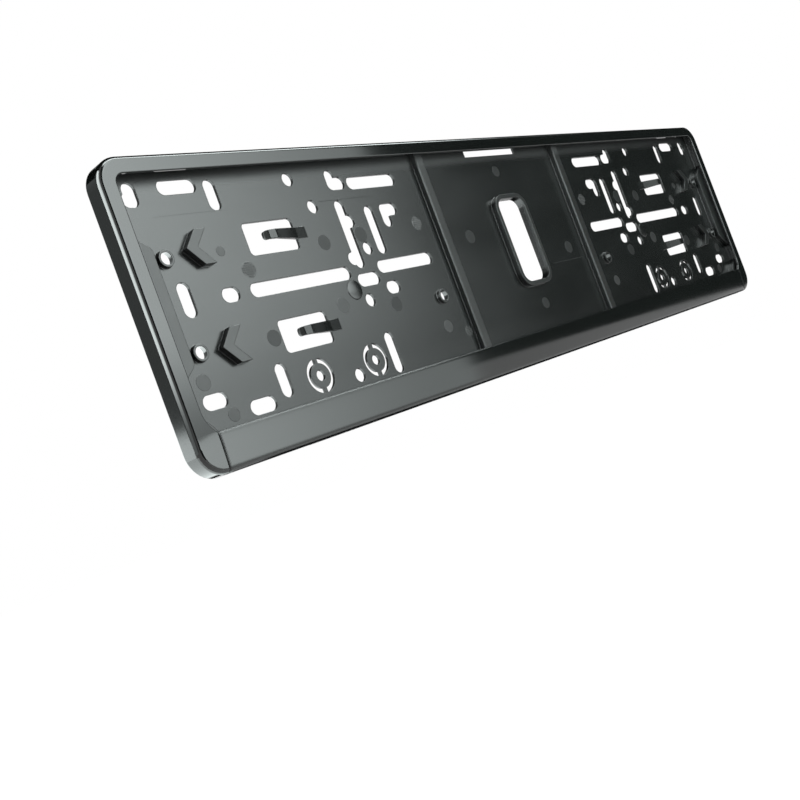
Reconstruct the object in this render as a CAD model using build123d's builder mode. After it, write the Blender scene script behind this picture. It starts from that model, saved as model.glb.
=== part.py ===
"""Number plate holder: a moulded tray with a lipped border, and the strip that closes it along the bottom.

Millimetres. X runs along the plate, Z is up and the front faces -Y. The origin is the middle of the
plate's pocket, on the back of the panel, and the border's rim stands behind it against the vehicle.
"""
import os

from build123d import *

# Plate that the holder takes
plate_width = 520.0
plate_height = 110.0
plate_thickness = 1.0

# Room round the plate in its pocket
plate_side_play = 1.5
plate_end_play = 2.0
plate_face_play = 0.3

# Section of the tray: the rim behind the panel, then the panel and what stands in front of it
back_rim = 1.5
panel_thickness = 1.5
support_height = 3.5
lip_thickness = 1.7

# Border
side_wall = 5.0
top_wall = 4.5
lip_overhang = 3.0
outer_corner_radius = 12.0
pocket_corner_radius = 5.0
window_top_radius = 4.5
window_bottom_radius = 13.0
edge_radius = 2.2
lip_edge_radius = 0.5
border_wall = 1.7
border_skin = 2.0

# Retaining strip
strip_height = 16.8
strip_overlap = 3.6
strip_inset = 12.0
strip_end_gap = 0.4
strip_fall = 1.2
strip_wall = 1.7
strip_top_radius = 0.7
strip_back_gap = 0.3
seat_gap = 0.25

# Seat of the strip in the tray
stop_wall = 1.8
foot_wall = 1.6
foot_height = 1.5

# Snap legs of the strip
leg_count = 6
leg_width = 12.0
leg_thickness = 1.6
leg_drop = 1.8
leg_play = 0.3
hook_reach = 1.0
hook_back_gap = 0.3

# Raised supports behind the plate
rib_inset = 191.1
rib_width = 6.0
rib_core = 3.0
rib_skin = 1.5
rib_edge_radius = 0.6
post_height = 2.0
post_base_diameter = 7.8
post_top_diameter = 7.2
post_back_bore = 7.2
post_front_bore = 5.4
chevron_inset = 26.7
chevron_height = 15.4
chevron_depth = 6.8
chevron_arm = 5.8
chevron_level = 21.4
pad_length = 65.0
pad_level = -1.5
pad_ramp = 8.0
pad_width = 10.2
pad_radius = 3.5
gusset_rise = 12.4
gusset_run = 11.5
gusset_radius = 20.0

# Spring tongues and their openings
opening_inset = 77.0
opening_level = 22.5
opening_width = 30.0
opening_height = 15.0
opening_radius = 2.2
tongue_root_width = 5.5
tongue_tip_width = 3.8
tongue_tip_radius = 1.2
tongue_thickness = 1.4
tongue_root = 6.6
tongue_reach = 21.9
tongue_rise = 0.6
tongue_flat = 4.0
tongue_tip = 2.5
tongue_dip = 1.2

# Window in the middle of the panel and the slot under the top lip
middle_window_width = 26.0
middle_window_height = 50.0
middle_window_radius = 6.0
collar_wall = 2.4
lip_slot_length = 50.0
lip_slot_height = 4.6
lip_slot_shift = 3.0

# Break-out rings
ring_insets = [75.8, 112.8]
ring_rise = 14.0
ring_diameter = 16.0
ring_slit = 2.3
ring_web = 1.5
ring_hole = 5.0

# Dish left where the moulding was fed
gate_inset = 115.7
gate_level = -8.6
gate_diameter = 9.0
gate_depth = 0.5

# Fixing holes of one half: inset from the pocket's side wall, level above its middle, and length.
# The other half mirrors them.
slot_width = 6.5
level_slots = [
    (35.6, 49.0, 20.0),
    (155.0, 43.6, 36.0),
    (85.9, 0.0, 63.2),
    (158.2, 0.0, 42.4),
    (43.3, 0.0, 9.6),
    (128.2, -4.8, 15.6),
    (143.1, -11.0, 10.0),
    (16.4, -41.3, 12.6),
    (39.3, -48.4, 14.6),
]
upright_slots = [
    (52.5, 44.1, 14.2),
    (126.1, 18.4, 34.6),
    (145.1, 18.8, 25.2),
    (20.4, 1.1, 15.2),
    (54.5, -40.6, 15.2),
    (126.6, -42.0, 20.5),
]
round_holes = [
    (99.0, 48.1),
    (108.6, 33.9),
    (135.0, 10.2),
    (123.9, -14.9),
    (99.4, -47.8),
]
# Pairs of overlapping slots: the level one, then the upright one
elbow_slots = [
    ((129.4, 44.2, 12.1), (126.7, 46.1, 10.2)),
    ((159.8, 28.2, 13.0), (156.6, 25.3, 12.2)),
    ((10.8, 45.0, 7.4), (11.7, 47.0, 10.7)),
]
# Round bulges on the longest upright slot, for a second screw spacing
slot_bulges = [
    (129.6, 24.8),
    (122.6, 6.3),
]
post_places = [
    (16.5, 18.9),
    (16.5, -21.2),
    (175.6, -21.2),
]

# How far a cutting shape runs past what it cuts
overrun = 2.0

# Sizes that follow from the ones above
pocket_half_width = plate_width / 2 + plate_side_play
pocket_half_height = plate_height / 2 + plate_end_play
half_width = pocket_half_width + side_wall
top_level = pocket_half_height + top_wall
strip_top = strip_overlap - pocket_half_height
bottom_level = strip_top - strip_height
support_plane = panel_thickness + support_height
lip_back = support_plane + plate_thickness + plate_face_play
depth = lip_back + lip_thickness
window_half_width = pocket_half_width - lip_overhang
window_top = pocket_half_height - lip_overhang
bay_half_width = half_width - strip_inset
stop_bottom = -pocket_half_height - stop_wall
foot_bottom = bottom_level + strip_wall + seat_gap
foot_top = foot_bottom + foot_wall
leg_top = stop_bottom - leg_drop
leg_foot = leg_top - leg_thickness
hook_back = back_rim - hook_back_gap
strip_half_length = bay_half_width - strip_end_gap
leg_pitch = 2 * strip_half_length / leg_count
leg_places = [(number - (leg_count - 1) / 2) * leg_pitch for number in range(leg_count)]


def side(inset):
    """X of a place on the +X half, from its distance to the pocket's side wall."""
    return pocket_half_width - inset


def box_between(x_range, y_range, z_range, mode=Mode.ADD):
    """A block given by its limits along each axis."""
    limits = (x_range, y_range, z_range)
    with Locations([(sum(x_range) / 2, sum(y_range) / 2, sum(z_range) / 2)]):
        Box(*[high - low for low, high in limits], mode=mode)


# Outer form, shared by the tray and the strip so that they meet flush
with BuildPart() as outer_form:
    with BuildSketch(Plane.XZ.offset(-back_rim)):
        with Locations((0, (top_level + bottom_level) / 2)):
            RectangleRounded(2 * half_width, top_level - bottom_level, outer_corner_radius)
    extrude(amount=back_rim + depth)
    # The front falls away in a long arc towards the bottom edge
    with BuildSketch(Plane.YZ):
        with BuildLine():
            fall = TangentArc((-depth, strip_top), (strip_fall - depth, bottom_level - overrun),
                              tangent=(0, -1))
            Polyline(fall @ 1, (-depth - overrun, bottom_level - overrun), (-depth - overrun, strip_top),
                     fall @ 0)
        make_face()
    extrude(amount=half_width + overrun, both=True, mode=Mode.SUBTRACT)
    front_edges = outer_form.edges().filter_by(lambda edge: edge.center().Y < -depth / 2)
    rim_edges = front_edges.filter_by(lambda edge: edge.length < half_width or edge.center().Z > 0
                                      or edge.center().Z < strip_top - strip_height / 2)
    fillet(rim_edges, radius=edge_radius)


# Two spring tongues: a ramp out of the panel with a flat crest and a dipped tip, narrower towards the tip
root_x = side(opening_inset) - opening_width / 2
start_x = root_x - tongue_root
tip_x = root_x + tongue_reach
flat_end = tip_x - tongue_tip
crest_x = flat_end - tongue_flat
crest = -(support_plane + tongue_rise)
with BuildPart() as tongue_pair:
    with BuildSketch(Plane.XY):
        with BuildLine():
            Polyline((start_x, -panel_thickness), (root_x, -panel_thickness - tongue_thickness / 2),
                     (crest_x, crest), (flat_end, crest), (tip_x, crest + tongue_dip),
                     (tip_x, crest + tongue_dip + tongue_thickness), (flat_end, crest + tongue_thickness),
                     (crest_x, crest + tongue_thickness), (root_x, 0), (start_x, 0), close=True)
        make_face()
    extrude(amount=tongue_root_width / 2, both=True)
    with BuildSketch(Plane.XZ) as tongue_plan:
        with BuildLine():
            Polyline((start_x, tongue_root_width / 2), (tip_x, tongue_tip_width / 2),
                     (tip_x, -tongue_tip_width / 2), (start_x, -tongue_root_width / 2), close=True)
        make_face()
        fillet(tongue_plan.vertices().group_by(Axis.X)[-1], radius=tongue_tip_radius)
    extrude(amount=depth, mode=Mode.INTERSECT)
    mirror(about=Plane.YZ)


# Tray: border, panel and everything moulded on it
with BuildPart() as carrier_frame:
    add(outer_form.part)

    # Pocket for the plate, and the opening between the lips in front of it
    with BuildSketch(Plane.XZ.offset(panel_thickness)):
        RectangleRounded(2 * pocket_half_width, 2 * pocket_half_height, pocket_corner_radius)
    extrude(amount=lip_back - panel_thickness, mode=Mode.SUBTRACT)
    with BuildSketch(Plane.XZ.offset(lip_back)) as window:
        with Locations((0, (window_top - pocket_half_height) / 2)):
            Rectangle(2 * window_half_width, window_top + pocket_half_height)
        fillet(window.vertices().group_by(Axis.Y)[-1], radius=window_top_radius)
        fillet(window.vertices().group_by(Axis.Y)[0], radius=window_bottom_radius)
    extrude(amount=lip_thickness, mode=Mode.SUBTRACT)
    lip_middle = -lip_back - lip_thickness / 2
    front_edges = carrier_frame.edges().filter_by(lambda edge: edge.center().Y < lip_middle)
    lip_edges = front_edges.filter_by(lambda edge: abs(edge.center().X) < window_half_width + lip_edge_radius
                                      and abs(edge.center().Z) < pocket_half_height + lip_edge_radius)
    fillet(lip_edges, radius=lip_edge_radius)

    # Panel set forward of the rim that lies against the vehicle
    with BuildSketch(Plane.XZ.offset(-back_rim)):
        RectangleRounded(2 * pocket_half_width, 2 * pocket_half_height, pocket_corner_radius)
    extrude(amount=back_rim, mode=Mode.SUBTRACT)

    # Bay that the strip sits in, with the stop under the plate and the foot under the strip
    bay = (-bay_half_width, bay_half_width)
    box_between(bay, (-depth, -panel_thickness), (bottom_level, strip_top), mode=Mode.SUBTRACT)
    box_between(bay, (-depth, back_rim), (bottom_level, foot_bottom), mode=Mode.SUBTRACT)
    box_between(bay, (0, back_rim), (foot_top, -pocket_half_height), mode=Mode.SUBTRACT)
    box_between(bay, (seat_gap - lip_back, -panel_thickness), (stop_bottom, -pocket_half_height))
    box_between(bay, (-panel_thickness - foot_height, -panel_thickness), (foot_bottom, foot_top))
    for place in leg_places:
        box_between((place - leg_width / 2 - leg_play, place + leg_width / 2 + leg_play),
                    (-panel_thickness, 0), (leg_foot - leg_play, leg_top + leg_play), mode=Mode.SUBTRACT)

    # Border hollowed from the back
    with BuildSketch(Plane.XZ.offset(-back_rim)):
        with Locations((0, (top_level + bottom_level) / 2)):
            RectangleRounded(2 * (half_width - border_wall), top_level - bottom_level - 2 * border_wall,
                             outer_corner_radius - border_wall)
        with Locations((0, (pocket_half_height + border_wall + bottom_level) / 2)):
            Rectangle(2 * (bay_half_width + border_wall), pocket_half_height + border_wall - bottom_level,
                      mode=Mode.SUBTRACT)
        RectangleRounded(2 * (pocket_half_width + border_wall), 2 * (pocket_half_height + border_wall),
                         pocket_corner_radius, mode=Mode.SUBTRACT)
    extrude(amount=back_rim + depth - border_skin, mode=Mode.SUBTRACT)

    # Ribs across the panel, hollow behind
    rib_middle = side(rib_inset) - rib_width / 2
    with BuildSketch(Plane.XZ.offset(panel_thickness)):
        with Locations((rib_middle, 0), (-rib_middle, 0)):
            Rectangle(rib_width, 2 * pocket_half_height)
    extrude(amount=support_height)
    raised_edges = carrier_frame.edges().filter_by(Axis.Z).filter_by(
        lambda edge: edge.center().Y < -panel_thickness - support_height / 2)
    fillet(raised_edges.filter_by(lambda edge: abs(abs(edge.center().X) - rib_middle) < rib_width),
           radius=rib_edge_radius)
    with BuildSketch(Plane.XZ):
        with Locations((rib_middle, 0), (-rib_middle, 0)):
            Rectangle(rib_core, 2 * pocket_half_height)
    extrude(amount=support_plane - rib_skin, mode=Mode.SUBTRACT)

    # Chevrons, side pads, corner gussets and the collar of the middle window
    with BuildSketch(Plane.XZ.offset(panel_thickness)):
        for level in (chevron_level, -chevron_level):
            tip = side(chevron_inset)
            heel = tip - chevron_depth
            arm_top = level + chevron_height / 2
            arm_foot = level - chevron_height / 2
            with BuildLine():
                Polyline((tip, level), (heel, arm_top), (heel - chevron_arm, arm_top),
                         (tip - chevron_arm, level), (heel - chevron_arm, arm_foot), (heel, arm_foot),
                         close=True)
            make_face()
        mirror(about=Plane.YZ)
    extrude(amount=support_height)
    pad_top = pad_level + pad_length / 2
    pad_foot = pad_level - pad_length / 2
    with BuildSketch(Plane.XZ.offset(panel_thickness)) as pads:
        with BuildLine():
            Polyline((pocket_half_width, pad_top), (side(pad_width), pad_top - pad_ramp),
                     (side(pad_width), pad_foot + pad_ramp), (pocket_half_width, pad_foot), close=True)
        make_face()
        fillet(pads.vertices().group_by(Axis.X)[0], radius=pad_radius)
        with BuildLine():
            corner = Polyline((pocket_half_width, gusset_rise - pocket_half_height),
                              (pocket_half_width, -pocket_half_height),
                              (side(gusset_run), -pocket_half_height))
            RadiusArc(corner @ 1, corner @ 0, gusset_radius)
        make_face()
        mirror(about=Plane.YZ)
    extrude(amount=support_height)
    with BuildSketch(Plane.XZ):
        RectangleRounded(middle_window_width + 2 * collar_wall, middle_window_height + 2 * collar_wall,
                         middle_window_radius + collar_wall)
    extrude(amount=support_plane)
    with BuildSketch(Plane.XZ):
        RectangleRounded(middle_window_width, middle_window_height, middle_window_radius)
    extrude(amount=support_plane, mode=Mode.SUBTRACT)

    # Hollow posts, tapered inside and out
    posts = [(hand * side(inset), level) for inset, level in post_places for hand in (1, -1)]
    from_back = (Align.CENTER, Align.CENTER, Align.MIN)
    with Locations([(x, -panel_thickness, level) for x, level in posts]):
        Cone(post_base_diameter / 2, post_top_diameter / 2, post_height,
             rotation=(90, 0, 0), align=from_back)
    with Locations([(x, 0, level) for x, level in posts]):
        Cone(post_back_bore / 2, post_front_bore / 2, panel_thickness + post_height,
             rotation=(90, 0, 0), align=from_back, mode=Mode.SUBTRACT)

    # Fixing holes, tongue openings and the slot under the top lip
    with BuildSketch(Plane.XZ):
        for inset, level, length in level_slots:
            with Locations((side(inset), level)):
                SlotOverall(length, slot_width)
        for inset, level, length in upright_slots:
            with Locations((side(inset), level)):
                SlotOverall(length, slot_width, rotation=90)
        for level_arm, upright_arm in elbow_slots:
            with Locations((side(level_arm[0]), level_arm[1])):
                SlotOverall(level_arm[2], slot_width)
            with Locations((side(upright_arm[0]), upright_arm[1])):
                SlotOverall(upright_arm[2], slot_width, rotation=90)
        with Locations([(side(inset), level) for inset, level in round_holes + slot_bulges]):
            Circle(slot_width / 2)
        with Locations((side(opening_inset), opening_level), (side(opening_inset), -opening_level)):
            RectangleRounded(opening_width, opening_height, opening_radius)
        mirror(about=Plane.YZ)
        with Locations((lip_slot_shift, pocket_half_height - lip_slot_height / 2)):
            Rectangle(lip_slot_length, lip_slot_height)
    extrude(amount=panel_thickness, mode=Mode.SUBTRACT)

    # Break-out rings: a slit with two webs round a disc with a pilot hole
    with BuildSketch(Plane.XZ):
        with Locations([(side(inset), ring_rise - pocket_half_height) for inset in ring_insets]):
            Circle(ring_diameter / 2)
            Circle(ring_diameter / 2 - ring_slit, mode=Mode.SUBTRACT)
            Rectangle(ring_web, ring_diameter, mode=Mode.SUBTRACT)
            Circle(ring_hole / 2)
        mirror(about=Plane.YZ)
    extrude(amount=panel_thickness, mode=Mode.SUBTRACT)

    # Spring tongues, one over each opening
    with Locations((0, 0, opening_level), (0, 0, -opening_level)):
        add(tongue_pair.part)

    # Dish where the moulding was fed
    dish_radius = (gate_diameter ** 2 / 4 + gate_depth ** 2) / (2 * gate_depth)
    with Locations([(x, gate_depth - dish_radius - panel_thickness, gate_level)
                    for x in (side(gate_inset), -side(gate_inset))]):
        Sphere(dish_radius, mode=Mode.SUBTRACT)
carrier_frame.part.label = "carrier_frame"


# Strip that closes the bottom of the pocket: a rounded front, a skirt and snap legs behind it
with BuildPart() as retaining_strip:
    add(outer_form.part)
    box_between((-strip_half_length, strip_half_length), (-depth, back_rim - strip_back_gap),
                (bottom_level, strip_top), mode=Mode.INTERSECT)
    with BuildSketch(Plane.YZ):
        with BuildLine():
            skirt_top = bottom_level + strip_wall
            Polyline((back_rim, skirt_top), (strip_fall + strip_wall - depth, skirt_top),
                     (-lip_back, -pocket_half_height), (-lip_back, strip_top), (back_rim, strip_top),
                     close=True)
        make_face()
    extrude(amount=half_width, both=True, mode=Mode.SUBTRACT)
    fillet(retaining_strip.edges().filter_by(Axis.X).group_by(Axis.Z)[-1].sort_by(Axis.Y)[0],
           radius=strip_top_radius)
    for place in leg_places:
        box_between((place - leg_width / 2, place + leg_width / 2), (strip_wall - depth, hook_back),
                    (leg_foot, leg_top))
        with BuildSketch(Plane.YZ.offset(place - leg_width / 2)):
            with BuildLine():
                Polyline((0, leg_foot), (0, leg_foot - hook_reach), (hook_back, leg_foot), close=True)
            make_face()
        extrude(amount=leg_width)
retaining_strip.part.label = "retaining_strip"


os.makedirs("parts", exist_ok=True)
for piece in (carrier_frame, retaining_strip):
    export_step(piece.part, f"parts/{piece.part.label}.step")
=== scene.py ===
"""Looks of the number plate holder: glossy black moulded plastic with its mould marks, in a plain studio.

Metres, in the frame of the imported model: X runs along the plate, Z is up and the front faces -Y.
"""
import math

import bmesh
import bpy
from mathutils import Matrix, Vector


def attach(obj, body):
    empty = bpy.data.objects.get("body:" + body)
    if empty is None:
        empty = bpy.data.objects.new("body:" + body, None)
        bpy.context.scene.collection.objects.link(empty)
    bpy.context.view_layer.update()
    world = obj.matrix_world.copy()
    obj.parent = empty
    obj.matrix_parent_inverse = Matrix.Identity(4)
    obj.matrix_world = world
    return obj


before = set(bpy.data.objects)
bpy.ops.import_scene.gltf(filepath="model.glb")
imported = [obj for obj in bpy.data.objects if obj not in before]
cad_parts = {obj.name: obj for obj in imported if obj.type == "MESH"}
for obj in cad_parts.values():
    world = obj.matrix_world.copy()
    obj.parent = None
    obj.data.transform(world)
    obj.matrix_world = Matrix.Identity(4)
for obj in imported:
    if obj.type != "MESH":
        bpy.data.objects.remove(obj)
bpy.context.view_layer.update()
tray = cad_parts["carrier_frame"]
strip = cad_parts["retaining_strip"]
MM = 0.001

# Levels of the tray along Y, and how far its pocket reaches from the middle
PANEL_FRONT = -1.5 * MM
SUPPORT_FRONT = -5.0 * MM
LIP_BACK = -6.3 * MM
POCKET_REACH_X = 263.0 * MM
POCKET_REACH_Z = 58.5 * MM
POCKET_BLEND = 0.5 * MM

# Plastic: colour, refraction and roughness
PLASTIC_COLOR = (0.0044, 0.0051, 0.0048, 1.0)
FLOW_COLOR = (0.0062, 0.0072, 0.0068, 1.0)
PLASTIC_IOR = 1.5
DULL_IOR = 1.38
BORDER_ROUGHNESS = 0.085
PANEL_ROUGHNESS = 0.235
MARK_ROUGHNESS = 0.42

# Where the panel grows duller, and by how much: under the top lip along Z, and on the supports along Y
LIP_SHADE = (47.0 * MM, 55.0 * MM)
LIP_DULLING = 2.5
SUPPORT_RISE = (-2.2 * MM, -4.6 * MM)
SUPPORT_DULLING = 1.45

# Flow streaks along the plate. The dulling gives two values of the noise and the factor at each
FLOW_STRETCH = (0.35, 1.0, 1.0)
FLOW_NOISE = {"Scale": 28.0, "Detail": 4.0, "Roughness": 0.55}
FLOW_DULLING = (0.3, 0.7, 0.9, 1.12)

# Grain of the mould, with its strength on the border and in the pocket
GRAIN_NOISE = {"Scale": 1900.0, "Detail": 3.0, "Roughness": 0.6}
GRAIN_DEPTH = 0.02 * MM
GRAIN_STRENGTH = (0.03, 0.35)

# Softened edges: radius on the tray, on the strip and on the marks, and samples of the shader
EDGE_SOFTNESS = 0.4 * MM
STRIP_SOFTNESS = 2.0 * MM
MARK_SOFTNESS = 0.0
EDGE_SAMPLES = 8

# Roughness and refraction of each kind of ejector pin mark
MARK_KINDS = {
    "plain": (MARK_ROUGHNESS, PLASTIC_IOR),
    "dull": (MARK_ROUGHNESS, DULL_IOR),
    "hatched": (PANEL_ROUGHNESS, PLASTIC_IOR),
}

# Pin marks on one half of the panel, mirrored on the other: X, Z and diameter in millimetres, and kind
SIDE_MARKS = [
    (204.0, 9.3, 7.6, "hatched"),
    (154.0, 16.2, 7.6, "dull"),
    (128.0, 17.5, 8.0, "dull"),
    (83.6, 19.0, 7.6, "hatched"),
    (215.5, 19.2, 4.6, "plain"),
    (156.8, -14.6, 7.6, "plain"),
    (120.9, -19.5, 7.6, "dull"),
    (204.0, -22.0, 7.6, "dull"),
    (89.0, -36.8, 6.6, "plain"),
    (74.0, -42.0, 6.0, "hatched"),
    (247.7, -32.8, 7.0, "plain"),
    (238.7, -48.4, 6.0, "plain"),
]

# Pin marks in the middle of the panel, given the same way
MIDDLE_MARKS = [
    (-43.8, 7.2, 7.6, "dull"),
    (2.3, 42.7, 6.6, "dull"),
    (2.8, -38.5, 6.6, "dull"),
    (48.0, -9.3, 7.6, "dull"),
]

# Form of a pin mark, and of the studs that hatch it, with half the width of a stud's foot and crown
MARK_HEIGHT = 0.05 * MM
MARK_EDGE = 0.15 * MM
MARK_SEGMENTS = 48
STUD_PITCH = 1.0 * MM
STUD_FOOT = 0.45 * MM
STUD_CROWN = 0.1 * MM
STUD_HEIGHT = 0.1 * MM

# Low button over the gate of each half
GATE_X = 145.8 * MM
GATE_Z = -8.6 * MM
GATE_RADIUS = 4.9 * MM
GATE_HEIGHT = 0.5 * MM
GATE_RINGS = 8

# Fine lines left by the joints of the mould's inserts: X from, X to and Z in millimetres
INSERT_LINES = [
    (-243.0, -204.0, 37.0),
    (-148.0, -112.0, 36.0),
    (-58.0, -18.0, 37.0),
    (28.0, 65.0, 37.0),
    (25.0, 62.0, -17.0),
    (112.0, 148.0, 36.0),
    (204.0, 243.0, 37.0),
]
LINE_WIDTH = 0.4 * MM
LINE_HEIGHT = 0.035 * MM

# Camera
CAMERA_PLACE = (-0.5004, -0.3276, -0.0769)
CAMERA_AIM = (-0.1414, 0.0, -0.0644)
CAMERA_ROLL = math.radians(20.46)
CAMERA_LENS = 46.31
CAMERA_NEAR = 0.01

# Floor and background
FLOOR_LEVEL = -0.42
FLOOR_REACH = 9.0
FLOOR_COLOR = (0.86, 0.86, 0.86, 1.0)
FLOOR_GLOW = 0.6
WORLD_LIGHT = 0.55
WHITE = (1.0, 1.0, 1.0, 1.0)
BLACK = (0.0, 0.0, 0.0, 1.0)

# Planes and levels of the studio cards
FRONT_PLANE = -0.6
LEFT_PLANE = -0.6
BACK_PLANE = 1.33
RIGHT_PLANE = 3.4
TOP_LEVEL = 0.85
CARD_LIFT = 0.01
GROUND_LEVEL = FLOOR_LEVEL + CARD_LIFT

# Key, in two parts: its levels, and its right edge at each. A fade gives two places and the light there
LIGHT_COLOR = (0.92, 1.0, 0.99, 1.0)
KEY_LEFT = -0.05
KEY_LEVELS = (-0.258, -0.03, 0.75)
KEY_RIGHT = (0.70, 0.664, 0.54)
KEY_FADE_X = (KEY_LEFT, 0.64, 1.5, 0.42)
KEY_FADE_LOW = (-0.225, -0.155, 1.8, 5.0)
KEY_FADE_HIGH = (KEY_LEVELS[1], 0.12, 1.7, 5.8)

# Softboxes at the left, low behind, overhead and on the floor, and the grey card behind
LEFT_Y = (-0.4, 0.15)
LEFT_Z = (-0.12, 1.0)
LEFT_FADE_Y = (LEFT_Y[0], -0.12, 0.1, 1.0)
LEFT_FADE_Z = (-0.03, 0.04, 2.0, 16.0)
LOW_X = (-2.4, 0.4)
LOW_Z = (-0.4, 0.06)
LOW_LIGHT = 5.5
TOP_X = (-0.2, 1.6)
TOP_Y = (FRONT_PLANE, -0.26)
TOP_FADE_X = (0.9, 1.35, 14.0, 0.5)
BACK_X = (-2.8, 0.6)
BACK_Z = (LOW_Z[1], 2.4)
BACK_GLOW = 0.42
FLOOR_LIGHT_X = (-1.2, 0.0)
FLOOR_LIGHT_Y = (0.0, BACK_PLANE)
FLOOR_LIGHT = 4.0

# Black cards. The right one is given by the X and Z of its corners
RIGHT_CORNERS = [(0.672, -0.08), (RIGHT_PLANE, -0.26), (RIGHT_PLANE, 1.7), (0.388, 1.7)]
FRONT_X = (-0.37, KEY_LEFT)
FRONT_Z = (-0.24, 1.2)
ROOF_X = (-0.6, 2.4)
ROOF_Y = (TOP_Y[1], BACK_PLANE)
GROUND_X = (0.05, 1.4)
GROUND_Y = (-0.1, 0.9)
SIDE_Y = (FRONT_PLANE, 4.0)
SIDE_Z = (GROUND_LEVEL, 2.0)


def add_node(tree, kind, **settings):
    """A shader node with its properties set, and its inputs by name."""
    made = tree.nodes.new(kind)
    for name, value in settings.items():
        if name == "inputs":
            for socket, given in value.items():
                made.inputs[socket].default_value = given
        else:
            setattr(made, name, value)
    return made


def new_material(name):
    """An empty node material with its output."""
    material = bpy.data.materials.new(name)
    material.use_nodes = True
    material.node_tree.nodes.clear()
    return material, material.node_tree, material.node_tree.nodes.new("ShaderNodeOutputMaterial")


def remap(tree, source, low, high, to_low, to_high):
    """A smooth step of a value from one range to another."""
    step = add_node(tree, "ShaderNodeMapRange", interpolation_type="SMOOTHSTEP",
                    inputs={"From Min": low, "From Max": high, "To Min": to_low, "To Max": to_high})
    tree.links.new(source, step.inputs["Value"])
    return step.outputs["Result"]


def multiply(tree, first, second):
    """The product of two values."""
    product = add_node(tree, "ShaderNodeMath", operation="MULTIPLY")
    tree.links.new(first, product.inputs[0])
    tree.links.new(second, product.inputs[1])
    return product.outputs["Value"]


def within(tree, source, reach):
    """1 where a value lies nearer to zero than reach, and 0 beyond."""
    size = add_node(tree, "ShaderNodeMath", operation="ABSOLUTE")
    tree.links.new(source, size.inputs[0])
    return remap(tree, size.outputs["Value"], reach - POCKET_BLEND, reach + POCKET_BLEND, 1.0, 0.0)


def black_plastic(name, panel_roughness=PANEL_ROUGHNESS, softness=EDGE_SOFTNESS, ior=PLASTIC_IOR):
    """Glossy black plastic: a smooth border, and a panel with a finer grain and flow streaks."""
    material, tree, output = new_material(name)
    links = tree.links
    place = add_node(tree, "ShaderNodeTexCoord").outputs["Object"]
    split = add_node(tree, "ShaderNodeSeparateXYZ")
    links.new(place, split.inputs["Vector"])
    behind_lip = remap(tree, split.outputs["Y"], LIP_BACK, SUPPORT_FRONT, 0.0, 1.0)
    in_pocket = multiply(tree, within(tree, split.outputs["X"], POCKET_REACH_X),
                         within(tree, split.outputs["Z"], POCKET_REACH_Z))
    inside = multiply(tree, behind_lip, in_pocket)

    # Flow streaks: long soft clouds along the plate
    stretch = add_node(tree, "ShaderNodeMapping", inputs={"Scale": FLOW_STRETCH})
    links.new(place, stretch.inputs["Vector"])
    clouds = add_node(tree, "ShaderNodeTexNoise", inputs=FLOW_NOISE)
    links.new(stretch.outputs["Vector"], clouds.inputs["Vector"])
    colour = add_node(tree, "ShaderNodeMix", data_type="RGBA")
    colour.inputs["A"].default_value = PLASTIC_COLOR
    colour.inputs["B"].default_value = FLOW_COLOR
    links.new(clouds.outputs["Fac"], colour.inputs["Factor"])

    # Roughness: the panel is duller than the border, most of all under the top lip and on the supports
    under_lip = remap(tree, split.outputs["Z"], *LIP_SHADE, panel_roughness, panel_roughness * LIP_DULLING)
    raised = remap(tree, split.outputs["Y"], *SUPPORT_RISE, 1.0, SUPPORT_DULLING)
    blend = add_node(tree, "ShaderNodeMix", inputs={"A": BORDER_ROUGHNESS})
    links.new(inside, blend.inputs["Factor"])
    links.new(multiply(tree, under_lip, raised), blend.inputs["B"])
    rough = multiply(tree, blend.outputs["Result"], remap(tree, clouds.outputs["Fac"], *FLOW_DULLING))

    # Grain of the mould, strongest on the panel, and softened edges
    grain = add_node(tree, "ShaderNodeTexNoise", inputs=GRAIN_NOISE)
    links.new(place, grain.inputs["Vector"])
    edges = add_node(tree, "ShaderNodeBevel", samples=EDGE_SAMPLES, inputs={"Radius": softness})
    bump = add_node(tree, "ShaderNodeBump", inputs={"Distance": GRAIN_DEPTH})
    links.new(grain.outputs["Fac"], bump.inputs["Height"])
    links.new(remap(tree, inside, 0.0, 1.0, *GRAIN_STRENGTH), bump.inputs["Strength"])
    links.new(edges.outputs["Normal"], bump.inputs["Normal"])

    surface = add_node(tree, "ShaderNodeBsdfPrincipled", inputs={"IOR": ior})
    links.new(colour.outputs["Result"], surface.inputs["Base Color"])
    links.new(rough, surface.inputs["Roughness"])
    links.new(bump.outputs["Normal"], surface.inputs["Normal"])
    links.new(surface.outputs["BSDF"], output.inputs["Surface"])
    return material


def mesh_object(name, shape, material):
    """A new object from a bmesh, with one material."""
    mesh = bpy.data.meshes.new(name)
    shape.to_mesh(mesh)
    shape.free()
    mesh.materials.append(material)
    made = bpy.data.objects.new(name, mesh)
    bpy.context.scene.collection.objects.link(made)
    return made


def dress(node, material):
    """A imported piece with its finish."""
    node.data.materials.clear()
    node.data.materials.append(material)


def circle(x, z, radius):
    """Points around a place on the panel."""
    turns = [2 * math.pi * step / MARK_SEGMENTS for step in range(MARK_SEGMENTS)]
    return [(x + radius * math.cos(turn), z + radius * math.sin(turn)) for turn in turns]


def square(x, z, half):
    """Corners around a place on the panel."""
    return [(x - half, z - half), (x + half, z - half), (x + half, z + half), (x - half, z + half)]


def add_loop(shape, points, level):
    """Vertices through points of X and Z, at one level along Y."""
    return [shape.verts.new((x, level, z)) for x, z in points]


def add_wall(shape, first, second):
    """Faces between two loops with as many vertices."""
    count = len(first)
    pairs = [(step, (step + 1) % count) for step in range(count)]
    return [shape.faces.new((first[step], first[after], second[after], second[step]))
            for step, after in pairs]


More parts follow.
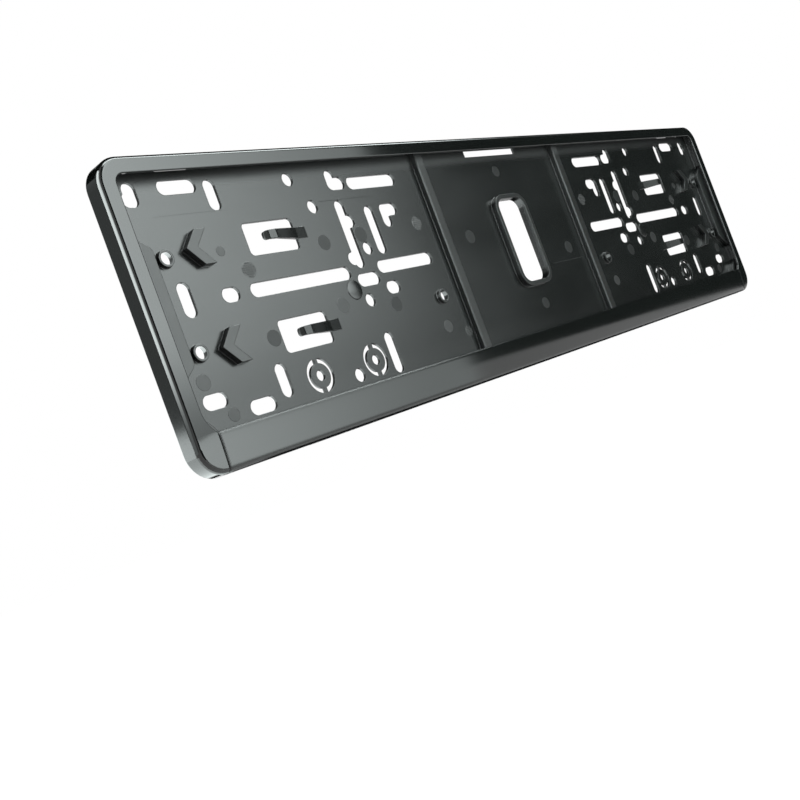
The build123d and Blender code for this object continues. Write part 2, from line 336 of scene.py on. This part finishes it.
def add_frustum(shape, foot_points, crown_points, level, height):
    """A closed low form that narrows from its foot, at a level along Y, to its crown in front of it."""
    foot = add_loop(shape, foot_points, level)
    crown = add_loop(shape, crown_points, level - height)
    add_wall(shape, foot, crown)
    shape.faces.new(crown)
    shape.faces.new(foot[::-1])


def add_mark(shape, x, z, diameter):
    """The end of an ejector pin: a low flat disc with a bevelled rim."""
    radius = diameter / 2
    add_frustum(shape, circle(x, z, radius), circle(x, z, radius - MARK_EDGE), PANEL_FRONT, MARK_HEIGHT)


def add_studs(shape, x, z, diameter):
    """The hatching on a pin's end: rows of small four-sided studs."""
    reach = diameter / 2 - MARK_EDGE - STUD_FOOT
    count = int(reach / STUD_PITCH)
    steps = [step * STUD_PITCH for step in range(-count, count + 1)]
    level = PANEL_FRONT - MARK_HEIGHT
    for across in steps:
        for along in steps:
            if math.hypot(across, along) < reach:
                foot = square(x + across, z + along, STUD_FOOT)
                crown = square(x + across, z + along, STUD_CROWN)
                add_frustum(shape, foot, crown, level, STUD_HEIGHT)


def ejector_marks(kind):
    """All marks of one kind, on both halves and in the middle."""
    roughness, ior = MARK_KINDS[kind]
    material = black_plastic(kind + "_pin_plastic", roughness, MARK_SOFTNESS, ior)
    shape = bmesh.new()
    sides = [(side * x, z, size, named) for x, z, size, named in SIDE_MARKS for side in (-1, 1)]
    for x, z, size, named in sides + MIDDLE_MARKS:
        if named == kind:
            add_mark(shape, x * MM, z * MM, size * MM)
            if kind == "hatched":
                add_studs(shape, x * MM, z * MM, size * MM)
    bmesh.ops.recalc_face_normals(shape, faces=shape.faces)
    return mesh_object(kind + "_ejector_marks", shape, material)


def insert_lines(material):
    """Low ridges where the mould's inserts met."""
    shape = bmesh.new()
    section = [(-LINE_WIDTH / 2, 0.0), (0.0, LINE_HEIGHT), (LINE_WIDTH / 2, 0.0)]
    for start, end, level in INSERT_LINES:
        ends = [[shape.verts.new((x * MM, PANEL_FRONT - height, level * MM + rise))
                 for rise, height in section] for x in (start, end)]
        add_wall(shape, *ends)
        for outline in ends:
            shape.faces.new(outline)
    bmesh.ops.recalc_face_normals(shape, faces=shape.faces)
    return mesh_object("insert_lines", shape, material)


def gate_buttons(material):
    """Low domes where the plastic entered the mould."""
    shape = bmesh.new()
    for x in (-GATE_X, GATE_X):
        loops = []
        for ring in range(GATE_RINGS):
            share = 1 - ring / GATE_RINGS
            level = PANEL_FRONT - GATE_HEIGHT * (1 - share ** 2)
            loops.append(add_loop(shape, circle(x, GATE_Z, GATE_RADIUS * share), level))
        dome = [face for outer, inner in zip(loops, loops[1:]) for face in add_wall(shape, outer, inner)]
        crown = shape.verts.new((x, PANEL_FRONT - GATE_HEIGHT, GATE_Z))
        last = loops[-1]
        dome += [shape.faces.new((last[step - 1], last[step], crown)) for step in range(MARK_SEGMENTS)]
        for face in dome:
            face.smooth = True
        shape.faces.new(loops[0])
    bmesh.ops.recalc_face_normals(shape, faces=shape.faces)
    return mesh_object("gate_buttons", shape, material)


def seen_directly(tree):
    """1 for camera, glossy and transmission rays, which see the background as white."""
    path = add_node(tree, "ShaderNodeLightPath")
    total = path.outputs["Is Camera Ray"]
    for kind in ("Is Glossy Ray", "Is Transmission Ray"):
        larger = add_node(tree, "ShaderNodeMath", operation="MAXIMUM")
        tree.links.new(total, larger.inputs[0])
        tree.links.new(path.outputs[kind], larger.inputs[1])
        total = larger.outputs["Value"]
    return total


def studio_world():
    """Even soft light, with a white background."""
    world = bpy.data.worlds.new("studio")
    bpy.context.scene.world = world
    world.use_nodes = True
    tree = world.node_tree
    tree.nodes.clear()
    output = tree.nodes.new("ShaderNodeOutputWorld")
    light = add_node(tree, "ShaderNodeBackground", inputs={"Color": WHITE, "Strength": WORLD_LIGHT})
    white = add_node(tree, "ShaderNodeBackground", inputs={"Color": WHITE, "Strength": 1.0})
    mix = tree.nodes.new("ShaderNodeMixShader")
    tree.links.new(seen_directly(tree), mix.inputs["Fac"])
    tree.links.new(light.outputs["Background"], mix.inputs[1])
    tree.links.new(white.outputs["Background"], mix.inputs[2])
    tree.links.new(mix.outputs["Shader"], output.inputs["Surface"])


def floor_material():
    """Pale floor that looks white where nothing shades it, and keeps a soft shadow."""
    material, tree, output = new_material("pale_floor")
    matt = add_node(tree, "ShaderNodeBsdfDiffuse", inputs={"Color": FLOOR_COLOR})
    glow = add_node(tree, "ShaderNodeEmission", inputs={"Color": WHITE})
    power = add_node(tree, "ShaderNodeMath", operation="MULTIPLY")
    power.inputs[1].default_value = FLOOR_GLOW
    both = tree.nodes.new("ShaderNodeAddShader")
    tree.links.new(seen_directly(tree), power.inputs[0])
    tree.links.new(power.outputs["Value"], glow.inputs["Strength"])
    tree.links.new(matt.outputs["BSDF"], both.inputs[0])
    tree.links.new(glow.outputs["Emission"], both.inputs[1])
    tree.links.new(both.outputs["Shader"], output.inputs["Surface"])
    return material


def studio_floor():
    """A wide level floor under the object."""
    shape = bmesh.new()
    bmesh.ops.create_grid(shape, x_segments=1, y_segments=1, size=FLOOR_REACH)
    floor = mesh_object("floor", shape, floor_material())
    floor.location.z = FLOOR_LEVEL


def lamp_material(name, strength=1.0, **fades):
    """The glow of a light card, which may fade along one axis or two, each between two places."""
    material, tree, output = new_material(name)
    glow = add_node(tree, "ShaderNodeEmission", inputs={"Color": LIGHT_COLOR, "Strength": strength})
    split = add_node(tree, "ShaderNodeSeparateXYZ")
    tree.links.new(add_node(tree, "ShaderNodeTexCoord").outputs["Object"], split.inputs["Vector"])
    steps = [remap(tree, split.outputs[axis], *fade) for axis, fade in fades.items()]
    if steps:
        power = steps[0] if len(steps) == 1 else multiply(tree, *steps)
        tree.links.new(power, glow.inputs["Strength"])
    tree.links.new(glow.outputs["Emission"], output.inputs["Surface"])
    return material


def black_card_material():
    """Dead black, for the cards that keep light out of reflections."""
    material, tree, output = new_material("black_card")
    black = add_node(tree, "ShaderNodeBsdfDiffuse", inputs={"Color": BLACK})
    tree.links.new(black.outputs["BSDF"], output.inputs["Surface"])
    return material


def card(name, corners, material):
    """A flat studio card through its corners, out of the camera's sight."""
    shape = bmesh.new()
    shape.faces.new([shape.verts.new(corner) for corner in corners])
    made = mesh_object(name, shape, material)
    made.visible_camera = False
    return made


def reflected_only(made):
    """Keeps a card out of everything but reflections."""
    made.visible_diffuse = False
    made.visible_shadow = False
    made.visible_transmission = False


def facing_y(plane, x_range, z_range):
    """Corners of an upright rectangle across Y."""
    (left, right), (foot, top) = x_range, z_range
    return [(left, plane, foot), (right, plane, foot), (right, plane, top), (left, plane, top)]


def facing_x(plane, y_range, z_range):
    """Corners of an upright rectangle across X."""
    (near, far), (foot, top) = y_range, z_range
    return [(plane, near, foot), (plane, far, foot), (plane, far, top), (plane, near, top)]


def facing_z(plane, x_range, y_range):
    """Corners of a level rectangle."""
    (left, right), (near, far) = x_range, y_range
    return [(left, near, plane), (right, near, plane), (right, far, plane), (left, far, plane)]


def key_cards():
    """The key at the front right, in a low and a high part, each with its own fade."""
    for name, part, fade in (("low_key", 0, KEY_FADE_LOW), ("high_key", 1, KEY_FADE_HIGH)):
        foot, top = KEY_LEVELS[part:part + 2]
        right_foot, right_top = KEY_RIGHT[part:part + 2]
        outline = [(KEY_LEFT, foot), (right_foot, foot), (right_top, top), (KEY_LEFT, top)]
        card(name, [(x, FRONT_PLANE, z) for x, z in outline], lamp_material(name, X=KEY_FADE_X, Z=fade))


def soft_cards():
    """Softboxes at the left, low behind, overhead and on the floor, and a grey card behind."""
    reflected_only(card("left_softbox", facing_x(LEFT_PLANE, LEFT_Y, LEFT_Z),
                        lamp_material("left_light", Y=LEFT_FADE_Y, Z=LEFT_FADE_Z)))
    card("low_softbox", facing_y(BACK_PLANE, LOW_X, LOW_Z), lamp_material("low_light", LOW_LIGHT))
    reflected_only(card("top_softbox", facing_z(TOP_LEVEL, TOP_X, TOP_Y),
                        lamp_material("top_light", X=TOP_FADE_X)))
    reflected_only(card("back_card", facing_y(BACK_PLANE, BACK_X, BACK_Z),
                        lamp_material("back_light", BACK_GLOW)))
    reflected_only(card("floor_softbox", facing_z(GROUND_LEVEL, FLOOR_LIGHT_X, FLOOR_LIGHT_Y),
                        lamp_material("floor_light", FLOOR_LIGHT)))


def black_cards():
    """Cards to the right and left of the key, overhead, on the floor and past the right end."""
    dark = black_card_material()
    for name, corners in (("right_card", [(x, FRONT_PLANE, z) for x, z in RIGHT_CORNERS]),
                          ("front_card", facing_y(FRONT_PLANE, FRONT_X, FRONT_Z)),
                          ("roof_card", facing_z(TOP_LEVEL, ROOF_X, ROOF_Y)),
                          ("ground_card", facing_z(GROUND_LEVEL, GROUND_X, GROUND_Y)),
                          ("side_card", facing_x(RIGHT_PLANE, SIDE_Y, SIDE_Z))):
        reflected_only(card(name, corners, dark))


def aimed_camera():
    """The camera, turned about its line of sight as the photograph is."""
    lens = bpy.data.cameras.new("camera")
    lens.lens = CAMERA_LENS
    lens.clip_start = CAMERA_NEAR
    camera = bpy.data.objects.new("camera", lens)
    bpy.context.scene.collection.objects.link(camera)
    camera.location = CAMERA_PLACE
    aim = Vector(CAMERA_AIM) - Vector(CAMERA_PLACE)
    camera.rotation_mode = "QUATERNION"
    camera.rotation_quaternion = aim.to_track_quat("-Z", "Y")
    camera.rotation_mode = "XYZ"
    camera.rotation_euler.rotate_axis("Z", -CAMERA_ROLL)
    return camera


# Finish of the two mouldings, and the marks that the mould left on the tray
dress(tray, black_plastic("black_plastic"))
dress(strip, black_plastic("strip_plastic", softness=STRIP_SOFTNESS))
line_plastic = black_plastic("line_plastic", softness=MARK_SOFTNESS)
marks = [ejector_marks(kind) for kind in MARK_KINDS]
for piece in marks + [insert_lines(line_plastic), gate_buttons(line_plastic)]:
    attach(piece, "root")

# Studio
studio_world()
studio_floor()
key_cards()
soft_cards()
black_cards()
bpy.context.scene.camera = aimed_camera()
bpy.context.scene.view_settings.view_transform = "Standard"
